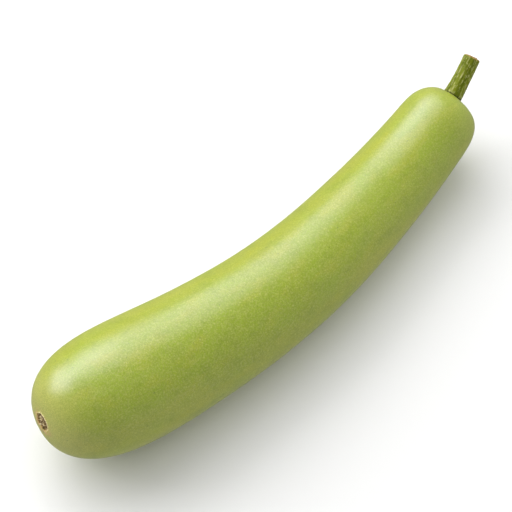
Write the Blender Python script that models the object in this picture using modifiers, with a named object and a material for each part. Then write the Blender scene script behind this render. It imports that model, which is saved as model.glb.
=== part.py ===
"""A bottle gourd lying on a surface: one long, gently bent fruit and its cut stem.

The fruit is one solid.  It is turned as a straight body, bent along its
backbone and flattened a little underneath, where it rests.  The stem is a
ribbed rod standing in a shallow seat at the neck end.

Metres, +Z up.  The surface is Z = 0.  The fruit lies along X with the blossom
end at -X and the stem at +X, and its hollow side faces +Y.
"""
import math

import bmesh
import bpy
from mathutils import Vector

for old in list(bpy.data.objects):
    bpy.data.objects.remove(old, do_unlink=True)

MM = 0.001

# ---- The fruit: sizes along its backbone, from the blossom end to the stem end
FRUIT_LENGTH = 343 * MM
# Half-thickness at six evenly spaced stations, before the two ends are rounded
GIRTH_GUIDES = (46.2 * MM, 38.1 * MM, 34.0 * MM, 31.0 * MM, 27.9 * MM, 24.3 * MM)
BLOSSOM_REACH = 95.5 * MM       # the long rounding of the bulb
BLOSSOM_FULLNESS = 2.52         # 2 is an ellipse, more is blunter
NECK_REACH = 26.5 * MM          # the short rounding of the neck
NECK_FULLNESS = 3.06

# ---- The bend of the backbone, seen from above, and the small lift of each tip
START_HEADING = math.radians(-8.8)
BEND = math.radians(17.5)
BEND_FROM = 0.236               # the bend lies between these shares of the length
BEND_TO = 0.75
BLOSSOM_LIFT = 5.8 * MM
NECK_LIFT = 18 * MM
LIFT_REACH = 90 * MM
FLAT_DEPTH = 0.5 * MM           # how much the resting underside is pressed flat

# ---- The blossom scar: a shallow saucer with a low rim
SCAR_FLOOR_RADIUS = 3.6 * MM
SCAR_DEPTH = 1.0 * MM
SCAR_EDGE_RADIUS = 5.0 * MM
SCAR_RIM_RADIUS = 5.9 * MM
SCAR_RIM_RISE = 0.25 * MM
SCAR_SKIN_RADIUS = 7.6 * MM

# ---- The seat that the stem stands in
SEAT_RADIUS = 7.15 * MM
SEAT_DEPTH = 0.8 * MM
SEAT_SKIN_RADIUS = 8.15 * MM
SEAT_SHIFT = 2.25 * MM          # the stem stands a little towards the hollow side
SEAT_SHIFT_REACH = 21 * MM      # radius at which the skin is no longer drawn along
GAP = 0.3 * MM                  # clearance between fruit and stem

# ---- The stem
STEM_LENGTH = 30 * MM
STEM_BASE_RADIUS = 6.45 * MM
STEM_MIDDLE_RADIUS = 5.75 * MM
STEM_TOP_RADIUS = 5.6 * MM
STEM_RIBS = 5
STEM_RIB_HEIGHT = 0.045         # as a share of the radius
STEM_TOP_HEADING = math.radians(16.5)
STEM_TOP_RISE = math.radians(36.4)
STEM_BEND_EARLY = 0.35          # below 1 the stem bends mostly near its foot

# ---- How finely the round shapes are divided
SIDES = 32
BLOSSOM_RINGS = 13
MIDDLE_RINGS = 14
NECK_RINGS = 8
STEM_SIDES = 20
STEM_STEPS = 8


def smooth_through(stations, share):
    """Value at a share (0 to 1) of a smooth line through evenly spaced stations."""
    last = len(stations) - 1
    place = min(max(share * last, 0.0), last - 1e-9)
    i = int(place)
    u = place - i
    before = stations[i - 1] if i > 0 else 2 * stations[0] - stations[1]
    a = stations[i]
    b = stations[i + 1]
    after = stations[i + 2] if i + 2 <= last else 2 * stations[last] - stations[last - 1]
    return 0.5 * (2 * a + (b - before) * u
                  + (2 * before - 5 * a + 4 * b - after) * u ** 2
                  + (3 * a - before - 3 * b + after) * u ** 3)


def guide_radius(along):
    return smooth_through(GIRTH_GUIDES, along / FRUIT_LENGTH)


def rounding(distance, reach, fullness):
    """Share of the full thickness left at a distance from a rounded tip."""
    inward = min(max(1 - distance / reach, 0.0), 1.0)
    return (1 - inward ** fullness) ** (1 / fullness)


def skin_radius(along):
    return (guide_radius(along)
            * rounding(along, BLOSSOM_REACH, BLOSSOM_FULLNESS)
            * rounding(FRUIT_LENGTH - along, NECK_REACH, NECK_FULLNESS))


def skin_depth(radius, reach, fullness, full_radius):
    """How far behind the tip the skin lies at a given radius."""
    return reach * (1 - (1 - (radius / full_radius) ** fullness) ** (1 / fullness))


def heading(along):
    share = (along / FRUIT_LENGTH - BEND_FROM) / (BEND_TO - BEND_FROM)
    share = min(max(share, 0.0), 1.0)
    return START_HEADING + BEND * share * share * (3 - 2 * share)


def axis_height(along):
    from_blossom = max(1 - along / LIFT_REACH, 0.0)
    from_neck = max(1 - (FRUIT_LENGTH - along) / LIFT_REACH, 0.0)
    return (guide_radius(along) - FLAT_DEPTH
            + BLOSSOM_LIFT * from_blossom ** 2 + NECK_LIFT * from_neck ** 2)


def backbone_point(along):
    steps = 120
    x = 0.0
    y = 0.0
    for i in range(steps):
        turn = heading(along * (i + 0.5) / steps)
        x += math.cos(turn) * along / steps
        y += math.sin(turn) * along / steps
    return Vector((x, y, axis_height(along)))


def backbone_frame(along):
    """Centre, forward, sideways and upward directions at a distance along."""
    step = 0.5 * MM
    slope = (axis_height(along + step) - axis_height(along - step)) / (2 * step)
    turn = heading(along)
    forward = Vector((math.cos(turn), math.sin(turn), slope)).normalized()
    sideways = Vector((-math.sin(turn), math.cos(turn), 0.0))
    return backbone_point(along), forward, sideways, forward.cross(sideways)


def seat_shift(radius):
    """How far the skin round the stem is drawn sideways, by its distance from the middle."""
    share = (radius - SEAT_SKIN_RADIUS) / (SEAT_SHIFT_REACH - SEAT_SKIN_RADIUS)
    share = min(max(share, 0.0), 1.0)
    return SEAT_SHIFT * (1 - share * share * (3 - 2 * share))


def direction(turn, rise):
    return Vector((math.cos(rise) * math.cos(turn), math.cos(rise) * math.sin(turn), math.sin(rise)))


def new_collection(name):
    made = bpy.data.collections.new(name)
    bpy.context.scene.collection.children.link(made)
    return made


def solid_from(source, name, collection):
    """Turn a live object into a plain closed mesh object."""
    bpy.context.view_layer.update()
    evaluated = source.evaluated_get(bpy.context.evaluated_depsgraph_get())
    mesh = bpy.data.meshes.new_from_object(evaluated)
    made = bpy.data.objects.new(name, mesh)
    collection.objects.link(made)
    made.matrix_world = source.matrix_world.copy()
    bpy.data.objects.remove(source, do_unlink=True)
    shape = bmesh.new()
    shape.from_mesh(mesh)
    bmesh.ops.remove_doubles(shape, verts=shape.verts, dist=0.01 * MM)
    bmesh.ops.recalc_face_normals(shape, faces=shape.faces)
    shape.to_mesh(mesh)
    shape.free()
    mesh.name = name
    return made


def coloured(name, colour, roughness):
    material = bpy.data.materials.new(name)
    material.use_nodes = True
    shader = material.node_tree.nodes["Principled BSDF"]
    shader.inputs["Base Color"].default_value = (*colour, 1.0)
    shader.inputs["Roughness"].default_value = roughness
    shader.inputs["Metallic"].default_value = 0.0
    return material


gourd = new_collection("bottle_gourd")
guides = new_collection("cutters_and_guides")

# ---- The straight fruit, turned about Z, stem end up
scar_radius_at_tip = guide_radius(0.0)
neck_radius_at_tip = guide_radius(FRUIT_LENGTH)


def blossom_skin(radius):
    return skin_depth(radius, BLOSSOM_REACH, BLOSSOM_FULLNESS, scar_radius_at_tip)


def neck_skin(radius):
    return FRUIT_LENGTH - skin_depth(radius, NECK_REACH, NECK_FULLNESS, neck_radius_at_tip)


profile = []
seat_floor = neck_skin(SEAT_RADIUS) - SEAT_DEPTH
profile.append((0.0, seat_floor))
profile.append((SEAT_RADIUS * 0.5, seat_floor))
profile.append((SEAT_RADIUS, seat_floor))
profile.append((SEAT_SKIN_RADIUS, neck_skin(SEAT_SKIN_RADIUS)))
first_angle = math.asin((SEAT_SKIN_RADIUS / neck_radius_at_tip) ** (NECK_FULLNESS / 2))
for i in range(1, NECK_RINGS + 1):
    angle = first_angle + (math.pi / 2 - first_angle) * i / (NECK_RINGS + 0.6)
    along = FRUIT_LENGTH - NECK_REACH * (1 - math.cos(angle) ** (2 / NECK_FULLNESS))
    profile.append((skin_radius(along), along))
for i in range(MIDDLE_RINGS + 1):
    along = FRUIT_LENGTH - NECK_REACH
    along += (BLOSSOM_REACH - along) * i / MIDDLE_RINGS
    profile.append((skin_radius(along), along))
last_angle = math.asin((SCAR_SKIN_RADIUS / scar_radius_at_tip) ** (BLOSSOM_FULLNESS / 2))
for i in range(BLOSSOM_RINGS, 0, -1):
    angle = last_angle + (math.pi / 2 - last_angle) * i / (BLOSSOM_RINGS + 0.8)
    along = BLOSSOM_REACH * (1 - math.cos(angle) ** (2 / BLOSSOM_FULLNESS))
    profile.append((skin_radius(along), along))
profile.append((SCAR_SKIN_RADIUS, blossom_skin(SCAR_SKIN_RADIUS)))
profile.append((SCAR_RIM_RADIUS, blossom_skin(SCAR_RIM_RADIUS) - SCAR_RIM_RISE))
profile.append((SCAR_EDGE_RADIUS, blossom_skin(SCAR_EDGE_RADIUS)))
profile.append((SCAR_FLOOR_RADIUS, blossom_skin(SCAR_EDGE_RADIUS) + SCAR_DEPTH))
profile.append((0.0, blossom_skin(SCAR_EDGE_RADIUS) + SCAR_DEPTH))

profile_mesh = bpy.data.meshes.new("fruit_profile")
profile_mesh.from_pydata([(radius, 0.0, along) for radius, along in profile],
                         [(i, i + 1) for i in range(len(profile) - 1)], [])
turned = bpy.data.objects.new("turned_fruit", profile_mesh)
gourd.objects.link(turned)
screw = turned.modifiers.new("turn", 'SCREW')
screw.axis = 'Z'
screw.angle = 2 * math.pi
screw.steps = SIDES
screw.render_steps = SIDES
screw.use_merge_vertices = True
screw.merge_threshold = 0.01 * MM
fruit = solid_from(turned, "bent_fruit", gourd)

# ---- Bend the straight fruit along its backbone
frames = {}
for vertex in fruit.data.vertices:
    along = round(vertex.co.z, 7)
    if along not in frames:
        frames[along] = backbone_frame(along)
    centre, forward, sideways, upward = frames[along]
    shift = 0.0
    if along > FRUIT_LENGTH - NECK_REACH:
        shift = seat_shift(math.hypot(vertex.co.x, vertex.co.y))
    vertex.co = centre + sideways * (vertex.co.x + shift) + upward * vertex.co.y

# ---- Press the underside flat where the fruit rests
slab_depth = 20 * MM
bpy.ops.mesh.primitive_cube_add(size=1.0, location=(FRUIT_LENGTH / 2, 0.0, -slab_depth / 2))
slab = bpy.context.object
slab.name = "resting_plane_slab"
slab.scale = (FRUIT_LENGTH * 1.4, FRUIT_LENGTH, slab_depth)
for linked in list(slab.users_collection):
    linked.objects.unlink(slab)
guides.objects.link(slab)
slab.hide_render = True
slab.display_type = 'WIRE'
press = fruit.modifiers.new("resting_flat", 'BOOLEAN')
press.operation = 'DIFFERENCE'
press.solver = 'EXACT'
press.object = slab
fruit = solid_from(fruit, "fruit", gourd)

# ---- The stem: a ribbed rod that rises out of the seat
section = bpy.data.curves.new("stem_section", 'CURVE')
section.dimensions = '2D'
ring = section.splines.new('POLY')
ring.points.add(STEM_SIDES - 1)
ring.use_cyclic_u = True
for i in range(STEM_SIDES):
    angle = 2 * math.pi * i / STEM_SIDES
    reach = 1 * MM * (1 + STEM_RIB_HEIGHT * math.cos(STEM_RIBS * angle))
    ring.points[i].co = (reach * math.cos(angle), reach * math.sin(angle), 0.0, 1.0)
section_guide = bpy.data.objects.new("stem_section", section)
guides.objects.link(section_guide)
section_guide.hide_render = True

seat_centre, seat_out, seat_side, seat_up = backbone_frame(seat_floor)
top_out = direction(STEM_TOP_HEADING, STEM_TOP_RISE)
path = [seat_centre + seat_side * SEAT_SHIFT + seat_out * GAP]
radii = [STEM_BASE_RADIUS]
straight = 1 * MM
path.append(path[0] + seat_out * straight)
radii.append(STEM_BASE_RADIUS * 0.985)
step = (STEM_LENGTH - straight) / STEM_STEPS
for i in range(STEM_STEPS):
    share = ((i + 0.5) / STEM_STEPS) ** STEM_BEND_EARLY
    leaning = (seat_out * (1 - share) + top_out * share).normalized()
    path.append(path[-1] + leaning * step)
    radii.append(smooth_through((STEM_BASE_RADIUS, STEM_MIDDLE_RADIUS, STEM_TOP_RADIUS),
                                (i + 1) / STEM_STEPS))
rod = bpy.data.curves.new("stem_rod", 'CURVE')
rod.dimensions = '3D'
rod.twist_mode = 'MINIMUM'
line = rod.splines.new('POLY')
line.points.add(len(path) - 1)
for point, where, radius in zip(line.points, path, radii):
    point.co = (*where, 1.0)
    point.radius = radius / MM
rod.bevel_mode = 'OBJECT'
rod.bevel_object = section_guide
rod.use_fill_caps = True
rod_object = bpy.data.objects.new("stem_rod", rod)
gourd.objects.link(rod_object)
stem = solid_from(rod_object, "stem", gourd)

# ---- Put the whole gourd over the origin, standing on Z = 0
corners = [piece.matrix_world @ vertex.co for piece in (fruit, stem) for vertex in piece.data.vertices]
middle = Vector(((min(c.x for c in corners) + max(c.x for c in corners)) / 2,
                 (min(c.y for c in corners) + max(c.y for c in corners)) / 2, 0.0))
for piece in (fruit, stem):
    for vertex in piece.data.vertices:
        vertex.co -= middle
slab.location -= middle

# ---- Colours and smooth shading
fruit.data.materials.clear()
fruit.data.materials.append(coloured("gourd_skin", (0.40, 0.50, 0.10), 0.45))
stem.data.materials.clear()
stem.data.materials.append(coloured("stem_green", (0.20, 0.24, 0.05), 0.7))
for piece in (fruit, stem):
    for face in piece.data.polygons:
        face.use_smooth = True

for piece in (fruit, stem):
    xs = [vertex.co.x for vertex in piece.data.vertices]
    ys = [vertex.co.y for vertex in piece.data.vertices]
    zs = [vertex.co.z for vertex in piece.data.vertices]
    print(piece.name, "faces", len(piece.data.polygons),
          "x", round(min(xs), 4), round(max(xs), 4),
          "y", round(min(ys), 4), round(max(ys), 4),
          "z", round(min(zs), 5), round(max(zs), 4))
for face in fruit.data.polygons:
    if face.normal.z < -0.9999 and abs(face.center.z) < 1e-6:
        ends = [fruit.data.vertices[i].co for i in face.vertices]
        print("resting face, mm: x", round(min(e.x for e in ends) * 1000, 1), round(max(e.x for e in ends) * 1000, 1),
              "y", round(min(e.y for e in ends) * 1000, 1), round(max(e.y for e in ends) * 1000, 1),
              "centre", [round(c * 1000, 2) for c in face.center])
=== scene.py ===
# %% [markdown]
# # A bottle gourd, from a turned profile to a studio picture
#
# A bottle gourd (lauki, calabash) is picked green, long before its skin turns
# woody.  This lesson builds one that lies on a pale table: a long fruit with a
# heavy rounded blossom end, a slimmer neck and a short ribbed stem.
#
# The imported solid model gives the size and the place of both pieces.  Here
# each of them is made again with a fine skin, so that the scar, the creases
# round the stem and the ribs of the stalk are real shape and not only paint.

# %% Load the solid model
import math

import bmesh
import bpy
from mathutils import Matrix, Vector, noise


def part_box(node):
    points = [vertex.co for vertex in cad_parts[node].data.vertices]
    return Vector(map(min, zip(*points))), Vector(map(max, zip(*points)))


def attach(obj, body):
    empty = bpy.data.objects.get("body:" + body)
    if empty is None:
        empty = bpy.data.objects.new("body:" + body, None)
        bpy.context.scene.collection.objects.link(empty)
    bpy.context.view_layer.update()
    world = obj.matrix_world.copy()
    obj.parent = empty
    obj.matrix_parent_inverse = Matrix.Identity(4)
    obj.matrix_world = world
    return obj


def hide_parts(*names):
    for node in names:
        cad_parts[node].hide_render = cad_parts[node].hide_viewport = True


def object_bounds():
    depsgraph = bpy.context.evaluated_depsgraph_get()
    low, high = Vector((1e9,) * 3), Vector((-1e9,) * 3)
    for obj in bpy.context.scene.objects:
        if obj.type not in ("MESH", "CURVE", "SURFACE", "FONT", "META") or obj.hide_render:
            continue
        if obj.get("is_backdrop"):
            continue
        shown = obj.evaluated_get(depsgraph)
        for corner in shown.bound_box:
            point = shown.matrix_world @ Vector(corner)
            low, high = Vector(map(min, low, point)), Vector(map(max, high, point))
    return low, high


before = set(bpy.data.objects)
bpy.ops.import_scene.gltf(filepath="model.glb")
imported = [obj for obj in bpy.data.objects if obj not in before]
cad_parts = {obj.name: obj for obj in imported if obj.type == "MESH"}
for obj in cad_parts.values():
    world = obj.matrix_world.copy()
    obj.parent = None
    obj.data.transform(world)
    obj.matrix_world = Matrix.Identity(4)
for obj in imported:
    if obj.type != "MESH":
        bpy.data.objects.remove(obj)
cad_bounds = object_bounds()
MM = 0.001
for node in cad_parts:
    low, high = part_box(node)
    print(node, "size in mm:", [round((high[i] - low[i]) / MM, 1) for i in range(3)])

# %% [markdown]
# ## The shape of the fruit in numbers
#
# A gourd swells unevenly while it hangs, so its outline is not a plain curve.
# Six half-thicknesses, evenly spaced from the blossom end to the stem end,
# describe it well.  A smooth line runs through them, and each end is rounded
# with a blunt ellipse, the bulb over a long reach and the neck over a short one.

# %% Girth of the fruit
FRUIT_LENGTH = 343 * MM
GIRTH_GUIDES = [46.2 * MM, 38.1 * MM, 34.0 * MM, 31.0 * MM, 27.9 * MM, 24.3 * MM]
BLOSSOM_REACH, BLOSSOM_FULLNESS = 95.5 * MM, 2.52
NECK_REACH, NECK_FULLNESS = 26.5 * MM, 3.06


def smooth_through(stations, share):
    """Value of a smooth line through evenly spaced stations, share from 0 to 1."""
    last = len(stations) - 1
    place = min(max(share * last, 0.0), last - 1e-9)
    i = int(place)
    u = place - i
    a, b = stations[i], stations[i + 1]
    before = stations[i - 1] if i > 0 else 2 * a - b
    after = stations[i + 2] if i + 2 <= last else 2 * b - a
    return 0.5 * (2 * a + (b - before) * u + (2 * before - 5 * a + 4 * b - after) * u ** 2
                  + (3 * a - before - 3 * b + after) * u ** 3)


def guide_radius(along):
    return smooth_through(GIRTH_GUIDES, along / FRUIT_LENGTH)


def rounding(distance, reach, fullness):
    inward = min(max(1 - distance / reach, 0.0), 1.0)
    return (1 - inward ** fullness) ** (1 / fullness)


def skin_radius(along):
    return (guide_radius(along) * rounding(along, BLOSSOM_REACH, BLOSSOM_FULLNESS)
            * rounding(FRUIT_LENGTH - along, NECK_REACH, NECK_FULLNESS))


def tip_depth(radius, reach, fullness, full_radius):
    """How far behind the tip the skin lies at a given radius."""
    return reach * (1 - (1 - (radius / full_radius) ** fullness) ** (1 / fullness))


print("thickest place:", round(max(2 * skin_radius(i * MM) for i in range(343)) / MM, 1), "mm across")

# %% [markdown]
# ## The bend of the fruit
#
# A gourd that ripens against the ground or a branch grows curved.  The fruit
# is easiest to make straight and then bend, the way a sculptor works on a
# straight blank.  The backbone below turns by 17.5 degrees between two places
# along its length, its height follows the girth so that the belly rests on
# the table, and both tips lift a little.

# %% Backbone of the fruit
START_HEADING, BEND = math.radians(-8.8), math.radians(17.5)
BEND_FROM, BEND_TO = 0.236, 0.75
BLOSSOM_LIFT, NECK_LIFT, LIFT_REACH = 5.8 * MM, 18 * MM, 90 * MM
FLAT_DEPTH = 0.5 * MM
BLOSSOM_TIP = Vector((-182.7 * MM, 11.8 * MM, 0.0))


def heading(along):
    share = min(max((along / FRUIT_LENGTH - BEND_FROM) / (BEND_TO - BEND_FROM), 0.0), 1.0)
    return START_HEADING + BEND * share * share * (3 - 2 * share)


def axis_height(along):
    from_blossom = max(1 - along / LIFT_REACH, 0.0)
    from_neck = max(1 - (FRUIT_LENGTH - along) / LIFT_REACH, 0.0)
    return (guide_radius(along) - FLAT_DEPTH
            + BLOSSOM_LIFT * from_blossom ** 2 + NECK_LIFT * from_neck ** 2)


def backbone_frame(along):
    """Centre, forward, sideways and upward directions at a distance along."""
    steps = 120
    turns = [heading(along * (i + 0.5) / steps) for i in range(steps)]
    centre = BLOSSOM_TIP + Vector((sum(math.cos(t) for t in turns) * along / steps,
                                   sum(math.sin(t) for t in turns) * along / steps,
                                   axis_height(along)))
    slope = (axis_height(along + 0.5 * MM) - axis_height(along - 0.5 * MM)) / MM
    turn = heading(along)
    forward = Vector((math.cos(turn), math.sin(turn), slope)).normalized()
    sideways = Vector((-math.sin(turn), math.cos(turn), 0.0))
    return centre, forward, sideways, forward.cross(sideways)


print("stem end of the backbone, mm:", [round(c / MM, 1) for c in backbone_frame(FRUIT_LENGTH)[0]])

# %% [markdown]
# ## Turning a profile
#
# Both pieces start as a turned blank.  A profile of points is joined into a
# line and spun a full turn about Z, and the loose copies at the two poles and
# along the seam are merged.  Spinning can leave the faces pointing inwards,
# so the normals are worked out afresh on the merged mesh.

# %% Helpers for turned blanks
def smoothstep(low, high, value):
    share = min(max((value - low) / (high - low), 0.0), 1.0)
    return share * share * (3 - 2 * share)


def hump(distance, width):
    """A soft bell, 1 at no distance and nearly 0 at twice the width."""
    return math.exp(-(distance / width) ** 2)


def turned_blank(profile, sides):
    """A bmesh turned about Z from (radius, height) points that start and end on the axis."""
    blank = bmesh.new()
    points = [blank.verts.new((radius, 0.0, height)) for radius, height in profile]
    edges = [blank.edges.new(pair) for pair in zip(points, points[1:])]
    bmesh.ops.spin(blank, geom=points + edges, cent=(0, 0, 0), axis=(0, 0, 1),
                   angle=2 * math.pi, steps=sides, use_merge=True, use_duplicate=False)
    bmesh.ops.remove_doubles(blank, verts=blank.verts, dist=0.002 * MM)
    bmesh.ops.recalc_face_normals(blank, faces=blank.faces)
    blank.normal_update()
    return blank


def finished_piece(shape, name):
    """Write a bmesh to a smooth-shaded object that sits at the origin."""
    mesh = bpy.data.meshes.new(name)
    for face in shape.faces:
        face.smooth = True
    shape.to_mesh(mesh)
    triangles = sum(len(face.verts) - 2 for face in shape.faces)
    shape.free()
    piece = bpy.data.objects.new(name, mesh)
    bpy.context.scene.collection.objects.link(piece)
    print(name, "has", triangles, "triangles")
    return piece


# %% [markdown]
# ## The blank of the fruit
#
# The rings lie close together at the blossom scar, where the relief is finer
# than a millimetre, and about a millimetre and a half apart on the plain
# body.  The skin dips into a shallow seat for the stem at the neck end.  The
# stem stands a little towards the hollow side of the bend, so the seat is
# drawn that way too, and the shift fades out over the shoulder.

# %% Profile of the fruit
SCAR_ZONE = 10 * MM
SCAR_RING_GAP = 0.25 * MM
BLOSSOM_RINGS, BODY_RINGS, NECK_RINGS, LIP_RINGS = 84, 146, 44, 9
SEAT_RADIUS, SEAT_DEPTH, SEAT_LIP = 6.9 * MM, 0.8 * MM, 8.6 * MM
SEAT_SHIFT, SEAT_SHIFT_FROM, SEAT_SHIFT_REACH = 2.25 * MM, 8.15 * MM, 21 * MM
SEAT_ROLL = 2.5                     # how late the lip turns down into the seat
FRUIT_SIDES = 200


def seat_shift(radius):
    """How far the skin round the stem is drawn sideways, by its distance from the middle."""
    return SEAT_SHIFT * (1 - smoothstep(SEAT_SHIFT_FROM, SEAT_SHIFT_REACH, radius))


def blossom_skin(radius):
    return tip_depth(radius, BLOSSOM_REACH, BLOSSOM_FULLNESS, guide_radius(0.0))


def neck_skin(radius):
    return FRUIT_LENGTH - tip_depth(radius, NECK_REACH, NECK_FULLNESS, guide_radius(FRUIT_LENGTH))


def rounded_end(reach, fullness, full_radius, from_radius, rings):
    """Distances from the tip of rings that are evenly spread over a rounded end."""
    first = math.asin((from_radius / full_radius) ** (fullness / 2))
    angles = [first + (math.pi / 2 - first) * i / (rings + 1) for i in range(1, rings + 1)]
    return [reach * (1 - math.cos(angle) ** (2 / fullness)) for angle in angles]


scar_radii = [ring * SCAR_RING_GAP for ring in range(round(SCAR_ZONE / SCAR_RING_GAP) + 1)]
profile = [(radius, blossom_skin(radius)) for radius in scar_radii]
for along in rounded_end(BLOSSOM_REACH, BLOSSOM_FULLNESS, guide_radius(0.0), SCAR_ZONE, BLOSSOM_RINGS):
    profile.append((skin_radius(along), along))
for ring in range(BODY_RINGS):
    along = BLOSSOM_REACH + (FRUIT_LENGTH - NECK_REACH - BLOSSOM_REACH) * ring / (BODY_RINGS - 1)
    profile.append((skin_radius(along), along))
neck_rings = rounded_end(NECK_REACH, NECK_FULLNESS, guide_radius(FRUIT_LENGTH), SEAT_LIP, NECK_RINGS)
for behind in reversed(neck_rings):
    profile.append((skin_radius(FRUIT_LENGTH - behind), FRUIT_LENGTH - behind))
for ring in range(LIP_RINGS):
    share = ring / (LIP_RINGS - 1)
    radius = SEAT_LIP + (SEAT_RADIUS - SEAT_LIP) * share
    profile.append((radius, neck_skin(radius) - SEAT_DEPTH * share ** SEAT_ROLL))
for share in (0.9, 0.7, 0.4, 0.0):
    profile.append((SEAT_RADIUS * share, neck_skin(SEAT_RADIUS) - SEAT_DEPTH))
print(len(profile), "rings of", FRUIT_SIDES, "points")

# %% [markdown]
# ## Relief of the blossom scar
#
# Where the flower dropped off, a corky button is left: a ragged dark edge
# with little pits, a crumbly tan middle and a pale raised lip.  One function
# gives the height of the relief at a place on the scar and, with it, how dark
# and how pale the skin is there, so colour and shape always agree.  The
# darkness is the cork's own dark with painted shade in the pits, the sunk ring
# and the low crumbs; the paleness is the cork's own pale with a painted
# highlight on the lip, strongest on its upper side.  The main pits and crumbs
# are listed by angle, distance and size, and noise crumbles the rest.  Angles
# run from the hollow side of the bend towards the top.

# %% Scar relief
SCAR_RADIUS = 5.5                   # mm, as are the other measures of the scar
SCAR_SINK, PIT_DEPTH, CRUMB_HEIGHT = 0.55, 0.55, 0.6
LIP_OUT, LIP_WIDTH, LIP_HEIGHT, LIP_LIT_SIDE = 0.55, 0.5, 0.32, math.radians(115)
SCAR_PITS = [(30, 4.5, 0.8), (69, 4.6, 0.9), (85, 2.9, 0.9), (355, 4.4, 0.8), (350, 3.1, 0.7),
             (317, 3.2, 0.7), (299, 4.8, 0.9), (283, 3.5, 0.7), (126, 2.4, 0.7), (178, 1.8, 0.6),
             (192, 3.0, 0.8), (202, 4.3, 0.8), (255, 5.2, 0.8), (150, 3.9, 0.7), (230, 3.4, 0.6)]
SCAR_CRUMBS = [(46, 3.3, 0.75), (64, 2.5, 0.65), (291, 5.3, 0.7), (212, 2.3, 0.5),
               (240, 1.6, 0.6), (10, 1.5, 0.7), (160, 0.9, 0.5)]


def distance_to(x, y, angle, radius):
    """How far a place lies from a spot given by its angle in degrees and its radius."""
    return math.hypot(x - radius * math.cos(math.radians(angle)),
                      y - radius * math.sin(math.radians(angle)))


def scar_relief(x, y):
    """Rise in mm, darkness with painted shade and paleness with painted highlight at a place on the scar,
    x and y in mm.
    """
    radius = math.hypot(x, y)
    angle = math.atan2(y, x)
    ragged = noise.noise(Vector((math.cos(angle) * 1.7, math.sin(angle) * 1.7, 4.0)))
    frayed = noise.noise(Vector((x * 1.9, y * 1.9, 9.0)))
    edge = SCAR_RADIUS + ragged + 0.9 * frayed
    inside = 1 - smoothstep(edge - 0.5, edge + 0.15, radius)
    crumbly = noise.fractal(Vector((x * 1.3, y * 1.3, 2.0)), 0.6, 2.1, 4)
    ring = hump(radius - (edge - 0.75), 0.5) * (0.6 + 1.2 * frayed)
    rise = inside * (0.45 * crumbly - SCAR_SINK) - 0.45 * ring
    # The sunk ring and the low crumbs are darkened: painted shade on the cork's own dark.
    dark = min(1.0, inside * (0.25 + 2.4 * max(0.0, 0.12 - crumbly)) + 0.9 * max(0.0, ring))
    pale = 0.8 * inside * smoothstep(0.12, 0.4, crumbly)
    dark *= 1 - pale
    for pit_angle, pit_radius, size in SCAR_PITS:
        depth = hump(distance_to(x, y, pit_angle, pit_radius), size * 0.75)
        rise -= PIT_DEPTH * depth
        # Painted shade: each pit is darkened by its depth.
        dark = max(dark, min(1.0, 1.6 * depth))
    for crumb_angle, crumb_radius, size in SCAR_CRUMBS:
        height = hump(distance_to(x, y, crumb_angle, crumb_radius), size * 0.8)
        rise += CRUMB_HEIGHT * height
        dark *= 1 - min(1.0, 1.4 * height)
        pale = max(pale, min(1.0, 1.3 * height))
    lip = hump(radius - (edge + LIP_OUT), LIP_WIDTH)
    # The lip is raised more and painted paler towards its upper side: a painted highlight on the pale
    # cork.
    lip *= 0.55 + 0.4 * math.cos(angle - LIP_LIT_SIDE) + 0.8 * frayed
    rise += LIP_HEIGHT * lip
    pale = max(pale, 0.9 * lip)
    return rise, dark, pale


print("deepest pit:", round(min(scar_relief(x * 0.2, y * 0.2)[0]
                                for x in range(-30, 31) for y in range(-30, 31)), 2), "mm")

# %% [markdown]
# ## Unevenness of the skin and creases round the stem
#
# A fresh gourd looks smooth, but light shows that its skin is never perfectly
# even: it has long shallow waves, a slight dimpling, and a few folds where
# the shoulder is drawn in towards the stem.  The folds are listed by angle,
# each with its reach and depth, and they fade out over the shoulder.

# %% Waves and folds
SHOULDER_FOLDS = [(84, 15, 0.30), (96, 9, 0.20), (72, 12, 0.22), (128, 11, 0.22), (160, 14, 0.25),
                  (196, 10, 0.2), (228, 15, 0.28), (262, 11, 0.22), (297, 13, 0.25), (330, 9, 0.2),
                  (12, 13, 0.26), (44, 10, 0.2)]
WAVE_HEIGHT, DIMPLE_HEIGHT = 0.22, 0.045    # mm
FOLDS_FROM, FOLD_WIDTH = 7.5, 0.55          # mm


def body_waves(place):
    """Rise in mm of the long waves and the fine dimpling, never above zero."""
    long_waves = noise.noise(Vector((place.x * 28, place.y * 28, place.z * 11)))
    dimples = noise.noise(place * 130)
    return WAVE_HEIGHT * (long_waves - 0.6) + DIMPLE_HEIGHT * (dimples - 0.7)


def shoulder_fold(place):
    """Depth in mm of the folds that run from the stem over the shoulder."""
    radius = math.hypot(place.x, place.y) / MM
    angle = math.degrees(math.atan2(place.y, place.x)) % 360
    total = 0.0
    for fold_angle, reach, depth in SHOULDER_FOLDS:
        bent = fold_angle + 4 * noise.noise(Vector((radius * 0.25, fold_angle, 0.0)))
        turn = (angle - bent + 180) % 360 - 180
        sideways = math.radians(turn) * radius
        fading = 1 - smoothstep(FOLDS_FROM, FOLDS_FROM + reach, radius)
        total += depth * fading * hump(sideways, FOLD_WIDTH + 0.04 * radius)
    return total


print(len(SHOULDER_FOLDS), "folds round the stem")

# %% [markdown]
# ## The fruit itself
#
# The blank is turned, the relief is pushed along the normals while the fruit
# is still straight, and every point is then carried onto the bent backbone.
# Each point also keeps its place on the straight blank in an attribute named
# `unbent`.  Patterns that read it follow the bend as the real ones do, and
# they have no seam.  The lowest skin is pressed flat on the table.

# %% Make the fruit
SCAR_FADE = 7.5 * MM                # from here out the relief of the scar dies away
SEAT_SHADE_FROM, SEAT_SHADE_TO = 7.4 * MM, 8.8 * MM
SHRINK = 0.12 * MM                  # keeps the fine skin just inside the solid
LOWEST_SKIN = 0.00002               # m above the table

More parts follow.
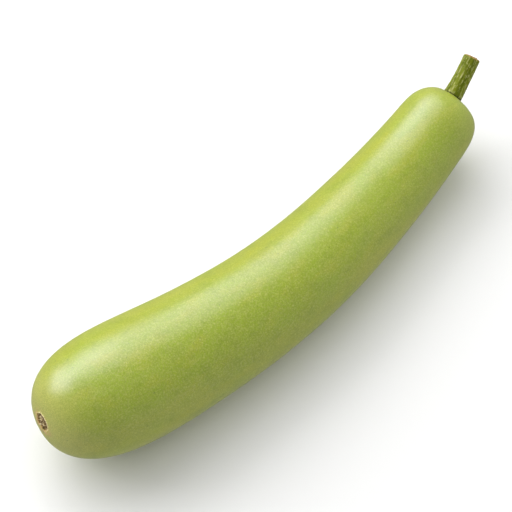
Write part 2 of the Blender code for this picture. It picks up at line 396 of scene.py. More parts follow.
fruit = turned_blank(profile, FRUIT_SIDES)
unbent = fruit.verts.layers.float_vector.new("unbent")
scar_dark_and_shade = fruit.verts.layers.float.new("scar_dark_and_shade")
scar_pale_and_highlight = fruit.verts.layers.float.new("scar_pale_and_highlight")
fold_shade = fruit.verts.layers.float.new("fold_shade")
frames = {}
for point in fruit.verts:
    straight = point.co.copy()
    point[unbent] = straight
    rise = body_waves(straight)
    radius = math.hypot(straight.x, straight.y)
    if straight.z < 8 * MM and radius < SCAR_ZONE:
        scar_rise, dark, pale = scar_relief(straight.x / MM, straight.y / MM)
        fade = 1 - smoothstep(SCAR_FADE, SCAR_ZONE, radius)
        rise += scar_rise * fade
        point[scar_dark_and_shade] = dark * fade
        point[scar_pale_and_highlight] = pale * fade
    if straight.z > FRUIT_LENGTH - NECK_REACH and radius > SEAT_RADIUS:
        depth = shoulder_fold(straight)
        rise -= depth
        # Painted shade: the folds and a ring round the stem's seat are darkened in the skin's colour
        # through fold_shade.
        seat_ring_shade = 1 - smoothstep(SEAT_SHADE_FROM, SEAT_SHADE_TO, radius)
        point[fold_shade] = max(depth, 1.1 * seat_ring_shade)
    moved = straight + point.normal * rise * MM
    girth = max(radius, MM)
    moved.x -= straight.x / girth * SHRINK
    moved.y -= straight.y / girth * SHRINK
    key = round(moved.z, 5)
    if key not in frames:
        frames[key] = backbone_frame(key)
    centre, forward, sideways, upward = frames[key]
    if straight.z > FRUIT_LENGTH - NECK_REACH:
        moved.x += seat_shift(radius)
    point.co = centre + sideways * moved.x + upward * moved.y
    point.co.z = max(point.co.z, LOWEST_SKIN)
gourd_fruit = finished_piece(fruit, "gourd_fruit")

# %% [markdown]
# ## The stem in numbers
#
# The stalk of a bottle gourd is a tough five-ribbed cord.  It leaves its seat
# square to the fruit, bends upwards near its foot, thins towards the cut and
# ends where the knife went through.  The same path as the solid's is walked
# here in finer steps.  The blank is straight and the rim of the cut is worn
# round; its ribs and bend come afterwards.

# %% Path and blank of the stem
STEM_LENGTH = 30 * MM
STEM_GIRTHS = [6.45 * MM, 5.75 * MM, 5.6 * MM]
STEM_TOP_TURN, STEM_TOP_RISE = math.radians(16.5), math.radians(36.4)
STEM_BEND_EARLY = 0.35
STEM_FOOT_GAP = 0.3 * MM
STEM_SIDES, STEM_STEPS = 120, 96
CUT_ROUNDING, CUT_RINGS, FACE_RINGS, SIDE_RINGS = 1.5 * MM, 6, 16, 70
FOOT_FLARE, FOOT_FLARE_REACH = 0.05, 2.2 * MM
SOLID_SEAT_RADIUS = 7.15 * MM       # the solid's own seat, which sets where the stem stands

seat_floor = neck_skin(SOLID_SEAT_RADIUS) - SEAT_DEPTH
seat_centre, seat_out, seat_side, seat_up = backbone_frame(seat_floor)
top_out = Vector((math.cos(STEM_TOP_RISE) * math.cos(STEM_TOP_TURN),
                  math.cos(STEM_TOP_RISE) * math.sin(STEM_TOP_TURN), math.sin(STEM_TOP_RISE)))


def stem_radius(along):
    girth = smooth_through(STEM_GIRTHS, along / STEM_LENGTH)
    return girth * (1 + FOOT_FLARE * hump(along, FOOT_FLARE_REACH))


side_rings = [STEM_LENGTH * i / SIDE_RINGS for i in range(1, SIDE_RINGS)]
stem_profile = [(0.0, 0.0), (3 * MM, 0.0), (5 * MM, 0.0), (stem_radius(0.0) - 0.35 * MM, 0.0),
                (stem_radius(0.0), 0.3 * MM)]
stem_profile += [(stem_radius(along), along) for along in side_rings
                 if along < STEM_LENGTH - CUT_ROUNDING]
for i in range(CUT_RINGS + 1):
    angle = math.pi / 2 * i / CUT_RINGS
    stem_profile.append((stem_radius(STEM_LENGTH) - CUT_ROUNDING * (1 - math.cos(angle)),
                         STEM_LENGTH - CUT_ROUNDING * (1 - math.sin(angle))))
cut_start = stem_profile[-1][0]
stem_profile += [(cut_start * (1 - i / FACE_RINGS), STEM_LENGTH) for i in range(1, FACE_RINGS + 1)]
print("stem blank:", len(stem_profile), "rings,",
      round(2 * stem_radius(0.0) / MM, 1), "mm thick at its foot")

# %% [markdown]
# ## Ribs, fibres and the cut
#
# Five ribs carry the strength of the stalk, and between them lie shallow
# grooves.  Fine fibres run the whole length.  The knife bruises the top: the
# rim is a little ragged, the face sinks towards the pith as it dries, and a
# ring of small bundles stands up between bark and pith.  A few scratches show
# that it has been handled, and the crease at the foot, where the stalk meets
# the fruit, is painted dark as shade.  Each scratch is an angle, a place along
# the stem, a length, a width and a shade, which is below zero for a dark one.

# %% Stem relief
STEM_RIBS, RIB_TURN = 5, math.radians(20)
BUNDLES = 10
BARK_RADIUS = 5.7                   # mm, a middling girth to lay the scratches out on
DRY_SIDE = math.radians(165)
STEM_NICKS = [(94, 15.5, 1.7, 0.4, 1.0), (104, 15.0, 1.5, 0.35, -1.0), (73, 3.2, 0.8, 0.8, 1.0),
              (84, 5.6, 1.6, 0.35, 0.9), (76, 9.0, 1.3, 0.3, 0.7), (112, 21.0, 2.2, 0.3, -0.8),
              (62, 19.0, 2.6, 0.5, 0.8), (240, 12.0, 2.0, 0.4, 0.8), (310, 20.0, 1.6, 0.4, -0.8),
              (20, 8.0, 1.8, 0.4, 0.7), (275, 5.0, 1.5, 0.5, 0.8)]


def stem_nick(angle, along):
    """Paleness, positive, or darkness, negative, of the scratches at a place on the stalk."""
    total = 0.0
    for nick_angle, nick_along, length, width, shade in STEM_NICKS:
        turn = (math.degrees(angle) - nick_angle + 180) % 360 - 180
        sideways = math.radians(turn) * BARK_RADIUS
        total += shade * hump(sideways, width) * hump(along / MM - nick_along, length)
    return max(-1.0, min(1.0, total))


def stem_relief(place):
    """Outward and lengthwise rise in mm, then groove, cut, painted foot shade and nick masks."""
    radius = math.hypot(place.x, place.y)
    angle = math.atan2(place.y, place.x)
    along = place.z / STEM_LENGTH
    on_side = smoothstep(0.55, 0.95, radius / stem_radius(place.z))
    wander = angle + 0.25 * noise.noise(Vector((place.z * 70, 3.0, 0.0)))
    rib = math.cos(STEM_RIBS * (wander - RIB_TURN))
    groove = smoothstep(0.2, 1.0, -rib)
    around = Vector((math.cos(angle), math.sin(angle), 0.0))
    fibres = noise.noise(around * 5.5 + Vector((0, 0, place.z * 55)))
    threads = noise.noise(around * 15 + Vector((7, 0, place.z * 110)))
    knots = noise.noise(around * 9 + Vector((0, 5, place.z * 330)))
    outward = on_side * (0.2 * rib - 0.14 + 0.16 * fibres + 0.12 * threads + 0.1 * knots)
    outward += on_side * 0.25 * hump(place.z, 1.6 * MM) * rib
    nick = on_side * stem_nick(angle, place.z)
    outward -= 0.12 * abs(nick)
    # Painted shade in the crease at the foot, where the stalk meets the fruit.
    foot = on_side * (1 - smoothstep(1.6, 3.0, place.z / MM + 0.7 * threads))
    lengthwise = 0.0
    dry_side = max(0.0, math.cos(angle - DRY_SIDE))
    cut = smoothstep(0.968 - 0.035 * dry_side + 0.02 * threads, 0.992, along)
    if along > 0.96:
        inner = radius / cut_start
        ragged = noise.noise(around * 4 + Vector((1, 2, 3)))
        lengthwise -= smoothstep(0.96, 1.0, along) * (0.25 + 0.35 * ragged) * smoothstep(0.6, 1.0, inner)
        lengthwise -= cut * (0.75 * hump(inner, 0.34) - 0.12 * hump(inner - 0.68, 0.12))
        bundles = max(0.0, math.cos(BUNDLES * angle)) * hump(inner - 0.66, 0.1)
        lengthwise += cut * (0.16 * bundles + 0.1 * noise.noise(place * 1900))
        lengthwise -= smoothstep(0.97, 1.0, along) * 0.45 * dry_side * smoothstep(0.2, 1.0, inner)
    return outward, lengthwise, groove * on_side, cut, foot, nick


print("ribs:", STEM_RIBS)

# %% [markdown]
# ## The stem itself
#
# The path of the stem is walked step by step: it starts square to its seat and
# turns towards the heading of the cut, fast at first.  Each point of the blank
# gets its relief and is then set down at its own distance along that path.

# %% Make the stem
BEND_START = 0.034                  # share of the stem that stays square to the seat
PAST_THE_CUT = 4                    # spare steps of the path

stem = turned_blank(stem_profile, STEM_SIDES)
stem_unbent = stem.verts.layers.float_vector.new("unbent")
stem_groove = stem.verts.layers.float.new("groove")
stem_cut = stem.verts.layers.float.new("cut")
stem_foot_shade = stem.verts.layers.float.new("foot")
stem_nicks = stem.verts.layers.float.new("nick")
stem_foot = seat_centre + seat_side * SEAT_SHIFT + seat_out * STEM_FOOT_GAP
stem_path = [(stem_foot, seat_out, seat_side, seat_up)]
step_length = STEM_LENGTH / STEM_STEPS
for step in range(STEM_STEPS + PAST_THE_CUT):
    here, out, side, up = stem_path[-1]
    share = ((step + 0.5) / STEM_STEPS - BEND_START) / (1 - BEND_START)
    share = min(max(share, 0.0), 1.0) ** STEM_BEND_EARLY
    out = (seat_out * (1 - share) + top_out * share).normalized()
    side = (side - out * side.dot(out)).normalized()
    stem_path.append((here + out * step_length, out, side, out.cross(side)))
for point in stem.verts:
    straight = point.co.copy()
    point[stem_unbent] = straight
    outward, lengthwise, groove, cut, foot, nick = stem_relief(straight)
    point[stem_groove] = groove
    point[stem_cut] = cut
    point[stem_foot_shade] = foot
    point[stem_nicks] = nick
    radius = max(math.hypot(straight.x, straight.y), 1e-9)
    x = straight.x * (1 + outward * MM / radius)
    y = straight.y * (1 + outward * MM / radius)
    place = (straight.z + min(lengthwise, 0.0) * MM) / step_length
    place = min(max(place, 0.0), STEM_STEPS + PAST_THE_CUT - 1)
    low = int(place)
    here, out, side, up = stem_path[low]
    point.co = here + out * (place - low) * step_length + side * x + up * y
gourd_stem = finished_piece(stem, "gourd_stem")

# %% [markdown]
# ## Effects that both finishes share
#
# Skin and stalk both carry a fine mottle, small spots and lengthwise streaks.
# Each is a node group with named sockets, placed in each material with its
# own values.  The groups put out masks only, and the shader stays in the
# material itself.  A few helpers keep the wiring of nodes to one line each.

# %% Node helpers
def put(tree, kind, settings=None, inputs=None):
    """Add a node, set its properties, and set or link its inputs."""
    made = tree.nodes.new("ShaderNode" + kind)
    for name, value in (settings or {}).items():
        setattr(made, name, value)
    for name, value in (inputs or {}).items():
        if isinstance(value, bpy.types.NodeSocket):
            tree.links.new(value, made.inputs[name])
        else:
            made.inputs[name].default_value = value
    return made


def new_group(name, inputs):
    """A shader group with one Mask output and the named inputs and values."""
    group = bpy.data.node_groups.new(name, "ShaderNodeTree")
    group.interface.new_socket("Vector", in_out="INPUT", socket_type="NodeSocketVector")
    for socket_name, value in inputs.items():
        socket = group.interface.new_socket(socket_name, in_out="INPUT", socket_type="NodeSocketFloat")
        socket.default_value = value
    group.interface.new_socket("Mask", in_out="OUTPUT", socket_type="NodeSocketFloat")
    return group, group.nodes.new("NodeGroupInput"), group.nodes.new("NodeGroupOutput")


def place_group(tree, group, inputs):
    """Place a group in a material and return its mask."""
    made = tree.nodes.new("ShaderNodeGroup")
    made.node_tree = group
    for name, value in inputs.items():
        if isinstance(value, bpy.types.NodeSocket):
            tree.links.new(value, made.inputs[name])
        else:
            made.inputs[name].default_value = value
    return made.outputs["Mask"]


def math_node(tree, operation, first, second=0.0):
    return put(tree, "Math", {"operation": operation, "use_clamp": True}, {0: first, 1: second}).outputs[0]


def mix_colour(tree, factor, first, second):
    made = put(tree, "Mix", {"data_type": "RGBA"}, {"Factor": factor})
    for socket, value in ((made.inputs[6], first), (made.inputs[7], second)):
        if isinstance(value, bpy.types.NodeSocket):
            tree.links.new(value, socket)
        else:
            socket.default_value = value
    return made.outputs[2]


# %% [markdown]
# ## Mottle, spots and streaks
#
# The mottle is noise cut to a soft range.  The spots are the middles of small
# cells, of which only the rarer ones are kept.  The streaks are noise on a
# blank that is squeezed along its length, which draws the noise out into
# fibres.

# %% Shared groups
mottle_group, entry, leave = new_group("fine_mottle", {"Scale": 900.0, "From": 0.4, "To": 0.65})
grain = put(mottle_group, "TexNoise", {"noise_dimensions": "3D"},
            {"Vector": entry.outputs["Vector"], "Scale": entry.outputs["Scale"],
             "Detail": 3.0, "Roughness": 0.6})
level = put(mottle_group, "MapRange", {"interpolation_type": "SMOOTHSTEP"},
            {"Value": grain.outputs["Fac"], "From Min": entry.outputs["From"],
             "From Max": entry.outputs["To"]})
mottle_group.links.new(level.outputs[0], leave.inputs["Mask"])

spots_group, entry, leave = new_group("small_spots", {"Scale": 300.0, "Size": 0.2, "Rarity": 0.8})
cells = put(spots_group, "TexVoronoi", {"feature": "F1"},
            {"Vector": entry.outputs["Vector"], "Scale": entry.outputs["Scale"], "Randomness": 1.0})
chosen = put(spots_group, "SeparateColor", {}, {"Color": cells.outputs["Color"]})
rare = put(spots_group, "Math", {"operation": "GREATER_THAN"},
           {0: chosen.outputs[0], 1: entry.outputs["Rarity"]})
near = put(spots_group, "MapRange", {"interpolation_type": "SMOOTHSTEP"},
           {"Value": cells.outputs["Distance"], "From Min": entry.outputs["Size"],
            "From Max": 0.0})
spot = put(spots_group, "Math", {"operation": "MULTIPLY"}, {0: rare.outputs[0], 1: near.outputs[0]})
spots_group.links.new(spot.outputs[0], leave.inputs["Mask"])

streak_group, entry, leave = new_group("long_streaks", {"Scale": 300.0, "From": 0.45, "To": 0.65,
                                                        "Stretch": 0.05})
flattened = put(streak_group, "CombineXYZ", {}, {"X": 1.0, "Y": 1.0, "Z": entry.outputs["Stretch"]})
pulled = put(streak_group, "VectorMath", {"operation": "MULTIPLY"},
             {0: entry.outputs["Vector"], 1: flattened.outputs[0]})
fibre = put(streak_group, "TexNoise", {"noise_dimensions": "3D"},
            {"Vector": pulled.outputs[0], "Scale": entry.outputs["Scale"],
             "Detail": 3.0, "Roughness": 0.55})
level = put(streak_group, "MapRange", {"interpolation_type": "SMOOTHSTEP"},
            {"Value": fibre.outputs["Fac"], "From Min": entry.outputs["From"],
             "From Max": entry.outputs["To"]})
streak_group.links.new(level.outputs[0], leave.inputs["Mask"])
print("shared groups:", [group.name for group in bpy.data.node_groups])

# %% [markdown]
# ## Masks and layers
#
# Short helpers keep the finishes readable.  Three of them place a shared group
# on the straight blank, where a scale of 1000 makes marks of about a
# millimetre.  One gives a soft mask from any value, and the last one lays
# colours over each other like thin glazes.

# %% Mask and layer helpers
def mottle_mask(tree, blank, scale, start, stop):
    return place_group(tree, mottle_group, {"Vector": blank, "Scale": scale, "From": start, "To": stop})


def spot_mask(tree, blank, scale, size, rarity):
    return place_group(tree, spots_group, {"Vector": blank, "Scale": scale, "Size": size,
                                           "Rarity": rarity})


def streak_mask(tree, blank, scale, stretch, start, stop):
    return place_group(tree, streak_group, {"Vector": blank, "Scale": scale, "Stretch": stretch,
                                            "From": start, "To": stop})


def soft_range(tree, value, start, stop, least=0.0):
    """A mask that goes smoothly from least at start to 1 at stop."""
    return put(tree, "MapRange", {"interpolation_type": "SMOOTHSTEP"},
               {"Value": value, "From Min": start, "From Max": stop, "To Min": least}).outputs[0]


def lay_on(tree, colour, layers):
    """Lay colours over each other, each by its mask times its strength."""
    for mask, strength, tint in layers:
        colour = mix_colour(tree, math_node(tree, "MULTIPLY", mask, strength), colour, tint)
    return colour


# %% [markdown]
# ## The colours of the skin
#
# Young gourd skin is yellow-green under a thin wax.  Its colours are easiest
# to judge as a display shows them, so they are written as display values from
# 0 to 255, and one helper turns them into the scene's light.  There are six
# greens for the body, three dry colours for the scar, and a dark green for
# specks and for the painted shade in the folds and round the stem's seat.

# %% Skin colours
def linear(red, green, blue):
    """A display colour from 0 to 255 as scene light."""
    return tuple((c / 255 / 12.92) if c <= 10 else ((c / 255 + 0.055) / 1.055) ** 2.4
                 for c in (red, green, blue)) + (1.0,)


SKIN_FRESH = linear(157, 181, 4)
SKIN_OLIVE = linear(176, 181, 32)
SKIN_DEEP = linear(132, 150, 8)
SKIN_YELLOW = linear(186, 186, 36)
SKIN_PALE = linear(198, 203, 104)
BLOSSOM_PALE = linear(206, 199, 106)
SCAR_TAN = linear(206, 164, 98)
SCAR_CREAM_AND_HIGHLIGHT = linear(250, 234, 188)
SCAR_BROWN_AND_SHADE = linear(18, 10, 2)
SPECK_AND_SHADE_GREEN = linear(84, 104, 22)
print("deep green as light:", [round(c, 3) for c in SKIN_DEEP[:3]])

# %% [markdown]
# ## Where each colour goes
#
# Up close the skin is a fine pale mottle on a deeper green, with a few dark
# specks and very faint lengthwise bands.  The side that grew towards the sun
# is fresher, the body is patched with yellow and deep green, and both ends are
# paler.  Painting it by hand would need an unwrapped skin with a seam; masks
# made from noise on the straight blank have none, and each is tuned alone.

# %% Skin masks
SUNNY_SIDE = (-0.407, 0.914, 0.0)   # across the blank, towards the sun
BLOSSOM_PALE_REACH = 20 * MM
NECK_PALE_FROM, NECK_PALE_TO = 26 * MM, 3 * MM

skin = bpy.data.materials.new("gourd_skin")
skin.use_nodes = True
tree = skin.node_tree
shader = tree.nodes["Principled BSDF"]
blank = put(tree, "Attribute", {"attribute_name": "unbent"}).outputs["Vector"]
fold_shade_mask = put(tree, "Attribute", {"attribute_name": "fold_shade"}).outputs["Fac"]
split = put(tree, "SeparateXYZ", {}, {"Vector": blank})
across = put(tree, "CombineXYZ", {}, {"X": split.outputs["X"], "Y": split.outputs["Y"]}).outputs[0]
clouds = mottle_mask(tree, blank, 38.0, 0.36, 0.66)
patches = mottle_mask(tree, blank, 110.0, 0.45, 0.7)
grain = mottle_mask(tree, blank, 900.0, 0.4, 0.62)
dust = mottle_mask(tree, blank, 2100.0, 0.38, 0.62)
bands = streak_mask(tree, blank, 120.0, 0.08, 0.4, 0.75)
sunned = streak_mask(tree, blank, 90.0, 0.45, 0.5, 0.68)
flecks = spot_mask(tree, blank, 560.0, 0.42, 0.6)
specks = spot_mask(tree, blank, 420.0, 0.26, 0.9)
dots = spot_mask(tree, blank, 150.0, 0.1, 0.86)
facing = put(tree, "VectorMath", {"operation": "NORMALIZE"}, {0: across}).outputs["Vector"]
sunward = put(tree, "VectorMath", {"operation": "DOT_PRODUCT"},
              {0: facing, 1: SUNNY_SIDE}).outputs["Value"]
sunny = soft_range(tree, sunward, 0.45, 1.0)
near_scar = soft_range(tree, split.outputs["Z"], BLOSSOM_PALE_REACH, 0.0)
near_stem = soft_range(tree, split.outputs["Z"],
                       FRUIT_LENGTH - NECK_PALE_FROM, FRUIT_LENGTH - NECK_PALE_TO)
print("masks placed:", len([node for node in tree.nodes if node.type == "GROUP"]))

# %% [markdown]
# ## Laying the greens on
#
# A grower sees one green, but it is many thin layers.  The ground colour runs
# from olive to fresh green, and every further layer has a mask, a strength
# and a colour.  The pale ends come before the grain, so that the grain shows
# on them too, and the specks and the painted shade of the folds come last.

# %% Skin layers
SUN_STRENGTH, CLOUD_STRENGTH = 0.75, 0.5
# The last layer is painted shade, dark green in the folds and round the stem's seat.
SKIN_LAYERS = [(patches, 0.42, SKIN_DEEP), (sunned, 0.5, SKIN_YELLOW), (bands, 0.15, SKIN_PALE),
               (near_scar, 0.7, BLOSSOM_PALE), (near_stem, 0.4, SKIN_PALE),
               (grain, 0.46, SKIN_PALE), (dust, 0.62, SKIN_DEEP), (flecks, 0.48, SKIN_PALE),
               (specks, 0.6, SPECK_AND_SHADE_GREEN), (dots, 0.8, SPECK_AND_SHADE_GREEN), (fold_shade_mask, 0.9, SPECK_AND_SHADE_GREEN)]

fresh = math_node(tree, "ADD", math_node(tree, "MULTIPLY", sunny, SUN_STRENGTH),
                  math_node(tree, "MULTIPLY", clouds, CLOUD_STRENGTH))
colour = lay_on(tree, mix_colour(tree, fresh, SKIN_OLIVE, SKIN_FRESH), SKIN_LAYERS)
print("layers of green:", len(SKIN_LAYERS) + 1)

# %% [markdown]
# ## The dry skin of the scar
#
# The button itself is tan cork, and crusts and prickles spread from it over
# the shaded side of the blossom end.  The pale and dark places come from the
# relief: the pale cork carries a painted highlight on the lip, and the dark
# cork carries painted shade in the pits and the sunk ring.  A fine crumb
# darkens the cork between them.

# %% Scar colours
SCAR_DEPTH = 5 * MM                 # deeper along the blank than this there is no scar
CORK_FROM, CORK_TO = 6 * MM, 5 * MM
CRUST_FROM, CRUST_TO = 12 * MM, 6 * MM
CHAR_STRENGTH = 0.7

dark = put(tree, "Attribute", {"attribute_name": "scar_dark_and_shade"}).outputs["Fac"]
pale = put(tree, "Attribute", {"attribute_name": "scar_pale_and_highlight"}).outputs["Fac"]
from_middle = put(tree, "VectorMath", {"operation": "LENGTH"}, {0: across}).outputs["Value"]
at_blossom = put(tree, "Math", {"operation": "LESS_THAN"},
                 {0: split.outputs["Z"], 1: SCAR_DEPTH}).outputs[0]
in_scar = put(tree, "MapRange", {}, {"Value": from_middle, "From Min": CORK_FROM,
                                     "From Max": CORK_TO}).outputs[0]
in_scar = math_node(tree, "MULTIPLY", in_scar, at_blossom)
round_scar = math_node(tree, "MULTIPLY", soft_range(tree, from_middle, CRUST_FROM, CRUST_TO), at_blossom)
round_scar = math_node(tree, "MULTIPLY", round_scar, soft_range(tree, sunward, 0.8, -0.4, 0.15))
crusts = mottle_mask(tree, blank, 520.0, 0.42, 0.54)
prickles = spot_mask(tree, blank, 620.0, 0.55, 0.6)
crumbs = mottle_mask(tree, blank, 1000.0, 0.46, 0.6)
charred = math_node(tree, "MULTIPLY", math_node(tree, "MULTIPLY", crumbs, in_scar), CHAR_STRENGTH)
colour = lay_on(tree, colour, [(crusts, round_scar, SCAR_TAN), (prickles, round_scar, SCAR_BROWN_AND_SHADE)])
colour = mix_colour(tree, in_scar, colour, SCAR_TAN)
# Pale cork with a painted highlight on the lip.
colour = mix_colour(tree, pale, colour, SCAR_CREAM_AND_HIGHLIGHT)
# Dark cork with painted shade in the pits and the sunk ring.
colour = mix_colour(tree, math_node(tree, "MAXIMUM", dark, charred), colour, SCAR_BROWN_AND_SHADE)
tree.links.new(colour, shader.inputs["Base Color"])
print("scar colours end", round(CRUST_FROM / MM), "mm from its middle")

# %% [markdown]
# ## Shine and pores of the skin
#
# The wax gives a broad soft shine.  A middling roughness spreads it, a strong
# reflection keeps it whitish on the green, and a very fine bump of pores and
# flecks breaks it up.  A clear coat would do it too, but it mirrors the room
# with a hard edge.

# %% Skin shine and relief
WAX_ROUGHNESS, CORK_ROUGHNESS = (0.29, 0.36), 0.95
WAX_BENDING = 1.62                  # index of refraction
WAX_TINT = (0.85, 0.81, 1.0, 1.0)
PORE_HEIGHT = 0.12 * MM

corky = math_node(tree, "MAXIMUM", in_scar, math_node(tree, "MAXIMUM", dark, pale))
rough = put(tree, "MapRange", {}, {"Value": grain, "To Min": WAX_ROUGHNESS[0],
                                   "To Max": WAX_ROUGHNESS[1]}).outputs[0]
rough = math_node(tree, "MAXIMUM", rough, math_node(tree, "MULTIPLY", corky, CORK_ROUGHNESS))
tree.links.new(rough, shader.inputs["Roughness"])
pores = mottle_mask(tree, blank, 1300.0, 0.3, 0.7)
relief = math_node(tree, "ADD", math_node(tree, "MULTIPLY", pores, 0.5),
                   math_node(tree, "MULTIPLY", flecks, 0.4))
bump = put(tree, "Bump", {}, {"Strength": 0.35, "Distance": PORE_HEIGHT, "Height": relief})
tree.links.new(bump.outputs["Normal"], shader.inputs["Normal"])
shader.inputs["IOR"].default_value = WAX_BENDING
shader.inputs["Specular IOR Level"].default_value = 1.0
shader.inputs["Specular Tint"].default_value = WAX_TINT
gourd_fruit.data.materials.append(skin)
print("skin nodes:", len(tree.nodes))

# %% [markdown]
# ## The dull cork of the scar
#
# Dry cork has no wax on it, and how strongly a surface reflects is one value
# for a whole material.  So the scar has a copy of the skin with almost no
# reflection, and the faces round the button are given to it.

# %% Dull finish of the scar
CORKY_RADIUS = 6.7 * MM             # inside this the skin is dry and dull
CORK_REFLECTION = 0.1

cork = skin.copy()
cork.name = "gourd_scar"
cork.node_tree.nodes["Principled BSDF"].inputs["Specular IOR Level"].default_value = CORK_REFLECTION
gourd_fruit.data.materials.append(cork)
places = gourd_fruit.data.attributes["unbent"].data
cork_faces = 0
for face in gourd_fruit.data.polygons:
    corner = places[face.vertices[0]].vector
    if corner.z < SCAR_DEPTH and math.hypot(corner.x, corner.y) < CORKY_RADIUS:
        face.material_index = 1
        cork_faces += 1
print("faces of cork:", cork_faces)

# %% [markdown]
# ## The stalk
#
# The stalk is duller than the fruit.  Its ribs are greyish green with short
# pale dry streaks, the grooves between them stay a deep green, the scratches
# show pale or dark, the crease at the foot is painted nearly black as shade,
# and the cut end has dried to tan.  The same layers as on the skin make it,
# with other masks.

# %% Stalk finish
STALK_GREEN = linear(124, 134, 24)
STALK_GROOVE = linear(92, 104, 2)
STALK_PALE = linear(192, 190, 122)
STALK_DARK_AND_SHADE = linear(46, 48, 10)
CUT_TAN = linear(200, 160, 92)
CUT_BROWN = linear(96, 74, 40)
BARK_ROUGHNESS, BARK_REFLECTION = (0.55, 0.72), 0.2
BARK_HEIGHT = 0.25 * MM

stalk = bpy.data.materials.new("gourd_stalk")
stalk.use_nodes = True
tree = stalk.node_tree
shader = tree.nodes["Principled BSDF"]
blank = put(tree, "Attribute", {"attribute_name": "unbent"}).outputs["Vector"]
groove = put(tree, "Attribute", {"attribute_name": "groove"}).outputs["Fac"]
cut = put(tree, "Attribute", {"attribute_name": "cut"}).outputs["Fac"]
foot = put(tree, "Attribute", {"attribute_name": "foot"}).outputs["Fac"]
nick = put(tree, "Attribute", {"attribute_name": "nick"}).outputs["Fac"]
streaks = streak_mask(tree, blank, 1000.0, 0.32, 0.5, 0.64)
shadows = streak_mask(tree, blank, 420.0, 0.16, 0.48, 0.62)
grain = mottle_mask(tree, blank, 1700.0, 0.42, 0.62)
chips = spot_mask(tree, blank, 420.0, 0.25, 0.75)
colour = mix_colour(tree, groove, STALK_GREEN, STALK_GROOVE)
colour = lay_on(tree, colour, [(shadows, 0.75, STALK_GROOVE), (streaks, 0.66, STALK_PALE),
                               (grain, 0.5, STALK_GROOVE), (chips, 0.6, STALK_PALE),
                               (nick, 0.9, STALK_PALE), (nick, -0.9, STALK_DARK_AND_SHADE)])
# Painted shade: the crease at the foot is darkened nearly to black.
colour = mix_colour(tree, foot, colour, STALK_DARK_AND_SHADE)
colour = mix_colour(tree, cut, colour, mix_colour(tree, grain, CUT_TAN, CUT_BROWN))
tree.links.new(colour, shader.inputs["Base Color"])
rough = put(tree, "MapRange", {}, {"Value": streaks, "To Min": BARK_ROUGHNESS[0],
                                   "To Max": BARK_ROUGHNESS[1]}).outputs[0]
tree.links.new(rough, shader.inputs["Roughness"])
relief = math_node(tree, "ADD", math_node(tree, "MULTIPLY", streaks, 0.6),
                   math_node(tree, "MULTIPLY", grain, 0.3))
bump = put(tree, "Bump", {}, {"Strength": 0.5, "Distance": BARK_HEIGHT, "Height": relief})
tree.links.new(bump.outputs["Normal"], shader.inputs["Normal"])
shader.inputs["Specular IOR Level"].default_value = BARK_REFLECTION
gourd_stem.data.materials.append(stalk)
print("stalk nodes:", len(tree.nodes))

# %% [markdown]
# ## Joining the pieces to the solid model
#
# Each fine piece rides on the one body of the gourd and stands for its plain
# solid, which is hidden.

# %% Bind the pieces
for piece, node, slot in ((gourd_fruit, "fruit", "skin"), (gourd_stem, "stem", "stem")):
    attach(piece, "root")
    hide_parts(node)
print("bound:", gourd_fruit.name, gourd_stem.name)

# %% [markdown]
# ## The table
#
# The gourd lies on a plain white table.  A white table mirrored in the wax
# would wash out the rims of the fruit, so the shine doesn't see it.

# %% Table
TABLE_REACH = 3.0                   # m from the middle to each side
TABLE_WHITE = (0.9, 0.9, 0.9, 1.0)

table_shape = bmesh.new()
bmesh.ops.create_grid(table_shape, x_segments=1, y_segments=1, size=TABLE_REACH)
table = finished_piece(table_shape, "table")
table_finish = bpy.data.materials.new("white_table")
table_finish.use_nodes = True
table_shader = table_finish.node_tree.nodes["Principled BSDF"]
table_shader.inputs["Base Color"].default_value = TABLE_WHITE
table_shader.inputs["Roughness"].default_value = 0.7
table_shader.inputs["Specular IOR Level"].default_value = 0.2
table.data.materials.append(table_finish)
table.visible_glossy = False
table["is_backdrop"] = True

# %% [markdown]
# ## The camera
#
# A long lens from over a metre away keeps both ends of the gourd in true
# proportion.  The camera looks steeply down, as one looks at food on a table,
# and stands a little to the blossom end, so that the scar just shows.

# %% Camera
AIM = Vector((-12.2 * MM, 16.6 * MM, 35 * MM))
CAMERA_TURN, CAMERA_RISE, CAMERA_DISTANCE = math.radians(-43.4), math.radians(58), 1.1
FILM_WIDTH, LENS = 36.0, 127.6      # mm

towards_camera = Vector((math.sin(CAMERA_TURN) * math.cos(CAMERA_RISE),
                         -math.cos(CAMERA_TURN) * math.cos(CAMERA_RISE), math.sin(CAMERA_RISE)))
camera_data = bpy.data.cameras.new("studio_camera")
camera_data.sensor_width = FILM_WIDTH
camera_data.lens = LENS
camera_data.clip_start = 0.01
camera = bpy.data.objects.new("studio_camera", camera_data)
bpy.context.scene.collection.objects.link(camera)
camera.location = AIM + towards_camera * CAMERA_DISTANCE
camera.rotation_euler = (-towards_camera).to_track_quat("-Z", "Y").to_euler()
bpy.context.scene.camera = camera
print("camera height:", round(camera.location.z, 3), "m")

# %% [markdown]
# ## The lights
#
# A curved waxy skin mirrors whatever stands behind it, so a lamp is placed
# where the skin would show it.  A long softbox behind the hollow side lays the
# pale shine along the back of the fruit, a small one inside it makes the
# brightest part, and a third one lights the blossom end.  Two wide softboxes,
# one overhead and a low one beyond the stem end, only fill the shade: the wax
# doesn't mirror them, or the whole fruit would look milky.

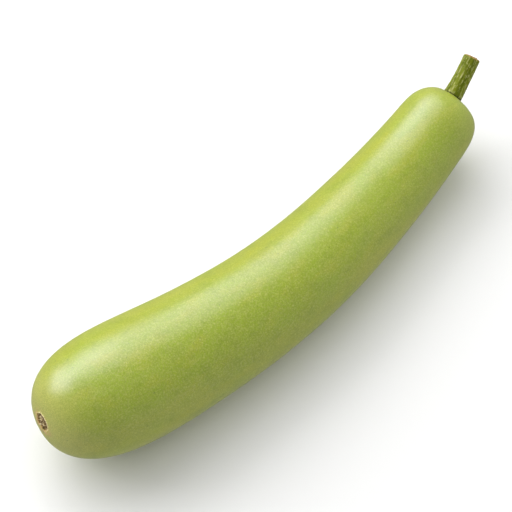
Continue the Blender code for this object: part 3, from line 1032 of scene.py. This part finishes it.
# %% Lights
ROOM_LIGHT = 0.29


def soft_lamp(name, turn, rise, distance, width, height, power, mirrored=True):
    """A softbox facing the gourd: its turn round the table and its rise above it in degrees."""
    turn, rise = math.radians(turn), math.radians(rise)
    direction = Vector((math.cos(turn) * math.cos(rise), math.sin(turn) * math.cos(rise), math.sin(rise)))
    lamp_data = bpy.data.lights.new(name, "AREA")
    lamp_data.shape = "RECTANGLE"
    lamp_data.size, lamp_data.size_y = width, height
    lamp_data.energy = power
    lamp = bpy.data.objects.new(name, lamp_data)
    bpy.context.scene.collection.objects.link(lamp)
    lamp.location = AIM + direction.normalized() * distance
    lamp.rotation_euler = direction.to_track_quat("Z", "Y").to_euler()
    lamp.visible_glossy = mirrored
    print(name, "gives", power, "W")


soft_lamp("long_softbox", turn=64, rise=51, distance=1.6, width=1.5, height=1.8, power=13.0)
soft_lamp("core_softbox", turn=70, rise=46, distance=1.55, width=0.6, height=0.8, power=3.2)
soft_lamp("blossom_softbox", turn=119, rise=35, distance=1.6, width=1.1, height=1.2, power=14.0)
soft_lamp("overhead_softbox", turn=45, rise=88, distance=2.4, width=3.4, height=3.4, power=26.5,
          mirrored=False)
soft_lamp("fill_softbox", turn=-25, rise=20, distance=2.4, width=3.0, height=1.6, power=13.5,
          mirrored=False)
world = bpy.data.worlds.new("bright_room")
world.use_nodes = True
world.node_tree.nodes["Background"].inputs["Color"].default_value = (1.0, 1.0, 1.0, 1.0)
world.node_tree.nodes["Background"].inputs["Strength"].default_value = ROOM_LIGHT
bpy.context.scene.world = world
bpy.context.scene.view_settings.view_transform = "Standard"
bpy.context.scene.view_settings.look = "None"

# %% [markdown]
# ## Sizes and the end
#
# The bounds of the solid and of the fine pieces are printed, so that it can be
# seen at once that the fine skin stays inside the solid.

# %% Print the sizes and finish
visual_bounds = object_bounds()
for name, (low, high) in (("solid", cad_bounds), ("visual", visual_bounds)):
    print(name, "box, mm:", [round(c / MM, 2) for c in low], [round(c / MM, 2) for c in high])
